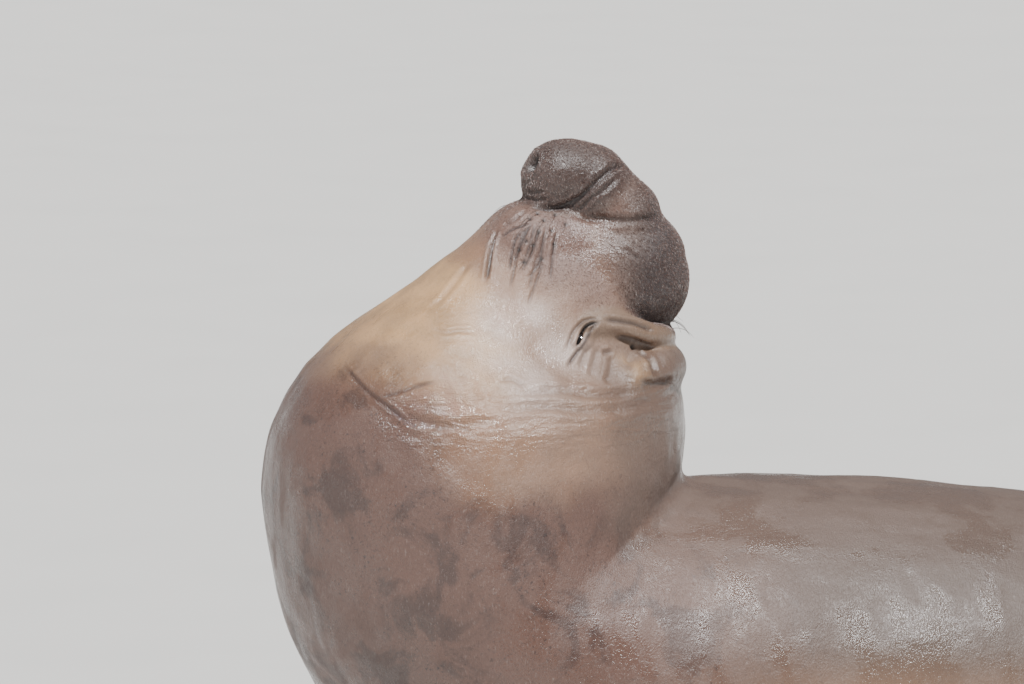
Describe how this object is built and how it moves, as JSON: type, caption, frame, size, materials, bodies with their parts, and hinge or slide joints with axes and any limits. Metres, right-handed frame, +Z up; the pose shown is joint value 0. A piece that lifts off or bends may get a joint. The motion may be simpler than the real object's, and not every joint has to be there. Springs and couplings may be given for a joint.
{
  "type": "elephant seal figure",
  "caption": "Life-size still figure of a bull southern elephant seal: belly and flippers on the floor, chest reared, head thrown back, nose swollen into bulbs.",
  "frame": {"origin": "on the floor, under the middle of the bounding box", "axes": "+Z up; the animal faces -X with its hind flippers towards +X, and its left side is -Y"},
  "size_m": [3.6774, 1.97, 1.7065],
  "materials": {
    "body_skin": "wet short fur over thick skin, grey tan with a paler throat, scars and dark mottling low on the chest",
    "nose_skin": "dark greyish brown hide with short stiff glinting hairs",
    "flipper_skin": "dark grey brown hide, dark horn claws on the fore flippers",
    "eyes": "wet, almost black eyeball"
  },
  "bodies": {
    "root": {"head": "body_skin", "muzzle": "body_skin", "lower_jaw": "body_skin", "neck": "body_skin", "chest": "body_skin", "torso": "body_skin", "hips": "body_skin", "tail": "body_skin", "proboscis_base": "nose_skin", "proboscis_middle": "nose_skin", "proboscis_tip": "nose_skin", "fore_flipper_left": "flipper_skin", "fore_flipper_right": "flipper_skin", "hind_flipper_left": "flipper_skin", "hind_flipper_right": "flipper_skin", "eye_left": "eyes", "eye_right": "eyes"}
  },
  "joints": []
}
